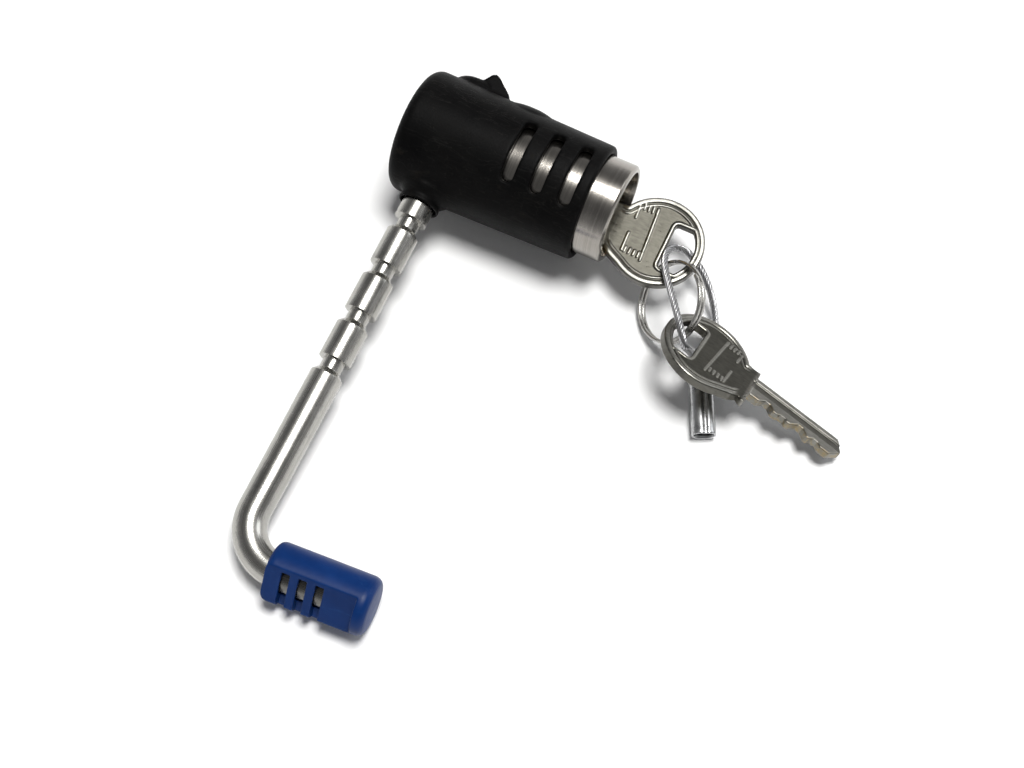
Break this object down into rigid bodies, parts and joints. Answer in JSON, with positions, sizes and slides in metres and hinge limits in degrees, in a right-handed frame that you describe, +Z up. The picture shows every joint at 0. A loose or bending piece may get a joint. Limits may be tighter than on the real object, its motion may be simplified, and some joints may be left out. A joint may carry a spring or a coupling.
{
  "type": "hitch pin lock",
  "caption": "Bent, grooved locking pin with a keyed barrel in a rubber sleeve that slides onto it, keys on a split ring and a wire cable loop.",
  "frame": {"origin": "middle of the footprint of everything but the cable and its ferrule, on the surface the lock lies on", "axes": "+X along the lock barrel towards the keyway; -Y along the locking pin towards its bend; +Z up from the surface"},
  "size_m": [0.0998, 0.1092, 0.0245],
  "materials": {
    "rubber": "satin black moulded rubber",
    "seal": "matt black rubber",
    "steel": "turned and brushed stainless steel",
    "pin_steel": "drawn stainless bar, light brushing along its length",
    "brass": "machined brass",
    "key_nickel": "worn satin nickel plate",
    "spring": "bright spring wire",
    "blue_plastic": "deep blue, satin gloss",
    "cable_steel": "stranded steel wire",
    "aluminium": "crimped aluminium, satin"
  },
  "bodies": {
    "head": {"rubber_sleeve": "rubber", "lock_body": "steel", "cylinder_shell": "brass", "cylinder_retaining_pin": "steel", "driver_pin_1": "brass", "driver_pin_2": "brass", "driver_pin_3": "brass", "driver_pin_4": "brass", "driver_spring_1": "spring", "driver_spring_2": "spring", "driver_spring_3": "spring", "driver_spring_4": "spring"},
    "pin_seals": {"near_seal": "seal", "far_seal": "seal"},
    "pin": {"locking_pin": "pin_steel", "pin_end_cap": "blue_plastic"},
    "plug": {"cylinder_plug": "brass", "plug_clip": "steel", "drive_pin": "steel", "key_pin_1": "brass", "key_pin_2": "brass", "key_pin_3": "brass", "key_pin_4": "brass"},
    "latch": {"latch_bolt": "steel"},
    "inserted_key": {"lock_key": "key_nickel", "wire_cable": "cable_steel", "cable_ferrule": "aluminium"},
    "key_ring": {"split_ring": "steel"},
    "loose_key": {"spare_key": "key_nickel"}
  },
  "joints": [
    {"name": "pin_spin", "type": "hinge", "parent": "head", "child": "pin_seals", "pos_m": [-0.04124, 0.03922, 0.01223], "axis": [0, 0.9971, 0.0756], "continuous": true},
    {"name": "pin_slide", "type": "slide", "parent": "pin_seals", "child": "pin", "axis": [0, 0.9971, 0.0756], "range_m": [-0.03, 0.052]},
    {"name": "plug_turn", "type": "hinge", "parent": "head", "child": "plug", "pos_m": [-0.00824, 0.03858, 0.00877], "axis": [-1, 0, 0], "range_deg": [0, 90]},
    {"name": "latch_slide", "type": "slide", "parent": "head", "child": "latch", "axis": [-1, 0, 0], "range_m": [0, 0.00181]},
    {"name": "key_withdraw", "type": "slide", "parent": "plug", "child": "inserted_key", "axis": [1, 0, 0], "range_m": [0, 0.03]},
    {"name": "ring_swing", "type": "hinge", "parent": "inserted_key", "child": "key_ring", "pos_m": [0.01116, 0.03192, 0.00858], "axis": [0, 0, 1], "range_deg": [-2, 2]},
    {"name": "spare_key_swing", "type": "hinge", "parent": "key_ring", "child": "loose_key", "pos_m": [0.01526, 0.02272, 0.00898], "axis": [0, 0, 1], "range_deg": [-2, 2]}
  ],
  "couplings": [
    {"joint": "latch_slide", "follows": "plug_turn", "m_per_rad": 0.0011459}
  ]
}
